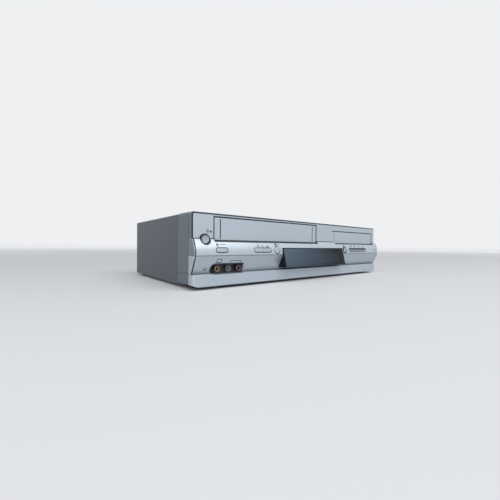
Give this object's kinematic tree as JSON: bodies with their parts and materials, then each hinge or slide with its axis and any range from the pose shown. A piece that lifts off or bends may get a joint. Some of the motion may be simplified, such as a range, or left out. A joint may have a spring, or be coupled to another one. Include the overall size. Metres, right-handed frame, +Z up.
{
  "type": "disc player and cassette recorder",
  "caption": "Full-width home player with a hinged cassette door, a sliding disc tray, a smoked display window and a full tape and disc mechanism inside.",
  "frame": {"origin": "on the surface it stands on, at the middle of its overall width and depth", "axes": "+X to the right seen from the front, +Y to the rear, +Z up"},
  "size_m": [0.43, 0.2699, 0.099],
  "materials": {
    "silver_paint": "satin silver paint on moulded plastic",
    "dark_plastic": "fine grained dark slate plastic",
    "cover_paint": "satin textured paint on steel sheet",
    "bare_steel": "zinc-plated sheet steel",
    "smoked_window": "polished smoked acrylic",
    "display_glass": "display glass in a dark holder",
    "board_green": "solder-masked circuit board",
    "black_plastic": "moulded black plastic",
    "nickel": "nickel-plated steel",
    "yellow_plastic": "moulded yellow plastic",
    "white_plastic": "moulded white plastic",
    "red_plastic": "moulded red plastic",
    "rubber": "black rubber",
    "component_mix": "black component bodies",
    "drum_metal": "turned and polished aluminium",
    "cast_metal": "die-cast aluminium",
    "grey_plastic": "grey engineering plastic",
    "white_gear": "natural acetal"
  },
  "bodies": {
    "player": {"base_chassis": "bare_steel", "rear_panel": "cover_paint", "top_cover": "cover_paint", "front_frame": "dark_plastic", "fascia": "silver_paint", "display_window": "smoked_window", "display_module": "display_glass", "front_board": "board_green", "front_jack_panel": "black_plastic", "rear_jack_block": "black_plastic", "jack_sleeves": "nickel", "yellow_jack_inserts": "yellow_plastic", "white_jack_inserts": "white_plastic", "red_jack_inserts": "red_plastic", "tuner_module": "nickel", "ac_inlet": "black_plastic", "main_board": "board_green", "board_components": "component_mix", "power_supply": "component_mix", "rubber_feet": "rubber", "case_screws": "nickel", "deck_plate": "bare_steel", "left_bracket": "bare_steel", "right_bracket": "bare_steel", "top_bridge": "bare_steel", "drum_base": "cast_metal", "tape_heads": "cast_metal", "capstan_motor": "cast_metal", "drive_motors": "nickel", "loader_frame": "black_plastic", "clamp_bridge": "bare_steel"},
    "cassette_door": {"cassette_door": "silver_paint"},
    "cassette_slider": {"cassette_slider": "bare_steel"},
    "cassette_holder": {"cassette_holder": "bare_steel"},
    "head_drum": {"head_drum": "drum_metal"},
    "capstan": {"capstan": "nickel"},
    "pinch_arm": {"pinch_arm": "bare_steel"},
    "pinch_roller": {"pinch_roller": "rubber"},
    "supply_reel": {"supply_reel": "grey_plastic"},
    "takeup_reel": {"takeup_reel": "grey_plastic"},
    "supply_guide": {"supply_guide": "cast_metal"},
    "takeup_guide": {"takeup_guide": "cast_metal"},
    "loading_gear": {"loading_gear": "white_gear"},
    "disc_tray": {"disc_tray": "grey_plastic", "tray_front": "silver_paint"},
    "tray_pinion": {"tray_pinion": "white_gear"},
    "disc_clamper": {"disc_clamper": "white_gear"},
    "traverse": {"traverse": "black_plastic"},
    "spindle": {"spindle_turntable": "black_plastic"},
    "pickup": {"pickup": "cast_metal"},
    "power_button": {"power_button": "silver_paint"},
    "eject_button": {"eject_button": "silver_paint"},
    "channel_down_button": {"channel_down_button": "silver_paint"},
    "channel_up_button": {"channel_up_button": "silver_paint"},
    "record_button": {"record_button": "silver_paint"},
    "open_button": {"open_button": "silver_paint"},
    "transport_button_1": {"transport_button_1": "silver_paint"},
    "transport_button_2": {"transport_button_2": "silver_paint"},
    "transport_button_3": {"transport_button_3": "silver_paint"},
    "transport_button_4": {"transport_button_4": "silver_paint"}
  },
  "joints": [
    {"name": "cassette_door_hinge", "type": "hinge", "parent": "player", "child": "cassette_door", "pos_m": [-0.0848, -0.1165, 0.0914], "axis": [1, 0, 0], "range_deg": [0, 90], "stiffness_Nm_per_rad": 0.01, "springref_deg": -20.05},
    {"name": "cassette_slide", "type": "slide", "parent": "player", "child": "cassette_slider", "axis": [0, 1, 0], "range_m": [0, 0.058]},
    {"name": "holder_lower", "type": "slide", "parent": "cassette_slider", "child": "cassette_holder", "axis": [0, 0, -1], "range_m": [0, 0.02]},
    {"name": "head_drum_spin", "type": "hinge", "parent": "player", "child": "head_drum", "pos_m": [-0.0848, 0.06, 0.0382], "axis": [0.1045, 0, 0.9945], "continuous": true},
    {"name": "capstan_spin", "type": "hinge", "parent": "player", "child": "capstan", "pos_m": [-0.0298, 0.043, 0.025], "axis": [0, 0, 1], "continuous": true},
    {"name": "pinch_arm_swing", "type": "hinge", "parent": "player", "child": "pinch_arm", "pos_m": [-0.0038, 0.033, 0.042], "axis": [0, 0, -1], "range_deg": [0, 30]},
    {"name": "pinch_roller_spin", "type": "hinge", "parent": "pinch_arm", "child": "pinch_roller", "pos_m": [-0.0227, 0.0262, 0.05], "axis": [0, 0, 1], "continuous": true},
    {"name": "supply_reel_spin", "type": "hinge", "parent": "player", "child": "supply_reel", "pos_m": [-0.1318, -0.027, 0.033], "axis": [0, 0, 1], "continuous": true},
    {"name": "takeup_reel_spin", "type": "hinge", "parent": "player", "child": "takeup_reel", "pos_m": [-0.0378, -0.027, 0.033], "axis": [0, 0, 1], "continuous": true},
    {"name": "loading_gear_turn", "type": "hinge", "parent": "player", "child": "loading_gear", "pos_m": [-0.1188, 0.047, 0.025], "axis": [0, 0, 1], "range_deg": [0, 90]},
    {"name": "supply_guide_slide", "type": "slide", "parent": "player", "child": "supply_guide", "axis": [-0.4472, 0.8944, 0], "range_m": [0, 0.0356]},
    {"name": "takeup_guide_slide", "type": "slide", "parent": "player", "child": "takeup_guide", "axis": [0.4472, 0.8944, 0], "range_m": [0, 0.0356]},
    {"name": "disc_tray_slide", "type": "slide", "parent": "player", "child": "disc_tray", "axis": [0, -1, 0], "range_m": [0, 0.138]},
    {"name": "tray_pinion_turn", "type": "hinge", "parent": "player", "child": "tray_pinion", "pos_m": [0.0945, -0.095, 0.064], "axis": [0, 0, 1], "range_deg": [0, 795]},
    {"name": "traverse_tilt", "type": "hinge", "parent": "player", "child": "traverse", "pos_m": [0.1345, 0.045, 0.0603], "axis": [1, 0, 0], "range_deg": [0, 5.6]},
    {"name": "spindle_spin", "type": "hinge", "parent": "traverse", "child": "spindle", "pos_m": [0.1345, -0.05, 0.06], "axis": [0, 0, 1], "continuous": true},
    {"name": "pickup_slide", "type": "slide", "parent": "traverse", "child": "pickup", "axis": [0, 1, 0], "range_m": [0, 0.034]},
    {"name": "disc_clamper_spin", "type": "hinge", "parent": "player", "child": "disc_clamper", "pos_m": [0.1345, -0.05, 0.08], "axis": [0, 0, 1], "continuous": true},
    {"name": "power_button_press", "type": "slide", "parent": "player", "child": "power_button", "axis": [0, 1, 0], "range_m": [0, 0.001], "stiffness_N_per_m": 800},
    {"name": "eject_button_press", "type": "slide", "parent": "player", "child": "eject_button", "axis": [0, 1, 0], "range_m": [0, 0.001], "stiffness_N_per_m": 800},
    {"name": "channel_down_button_press", "type": "slide", "parent": "player", "child": "channel_down_button", "axis": [0, 1, 0], "range_m": [0, 0.001], "stiffness_N_per_m": 800},
    {"name": "channel_up_button_press", "type": "slide", "parent": "player", "child": "channel_up_button", "axis": [0, 1, 0], "range_m": [0, 0.001], "stiffness_N_per_m": 800},
    {"name": "record_button_press", "type": "slide", "parent": "player", "child": "record_button", "axis": [0, 1, 0], "range_m": [0, 0.001], "stiffness_N_per_m": 800},
    {"name": "open_button_press", "type": "slide", "parent": "player", "child": "open_button", "axis": [0, 1, 0], "range_m": [0, 0.001], "stiffness_N_per_m": 800},
    {"name": "transport_button_1_press", "type": "slide", "parent": "player", "child": "transport_button_1", "axis": [0, 1, 0], "range_m": [0, 0.001], "stiffness_N_per_m": 800},
    {"name": "transport_button_2_press", "type": "slide", "parent": "player", "child": "transport_button_2", "axis": [0, 1, 0], "range_m": [0, 0.001], "stiffness_N_per_m": 800},
    {"name": "transport_button_3_press", "type": "slide", "parent": "player", "child": "transport_button_3", "axis": [0, 1, 0], "range_m": [0, 0.001], "stiffness_N_per_m": 800},
    {"name": "transport_button_4_press", "type": "slide", "parent": "player", "child": "transport_button_4", "axis": [0, 1, 0], "range_m": [0, 0.001], "stiffness_N_per_m": 800}
  ],
  "couplings": [
    {"joint": "tray_pinion_turn", "follows": "disc_tray_slide", "rad_per_m": 100},
    {"joint": "supply_guide_slide", "follows": "loading_gear_turn", "m_per_rad": 0.0226},
    {"joint": "takeup_guide_slide", "follows": "loading_gear_turn", "m_per_rad": 0.0226}
  ]
}
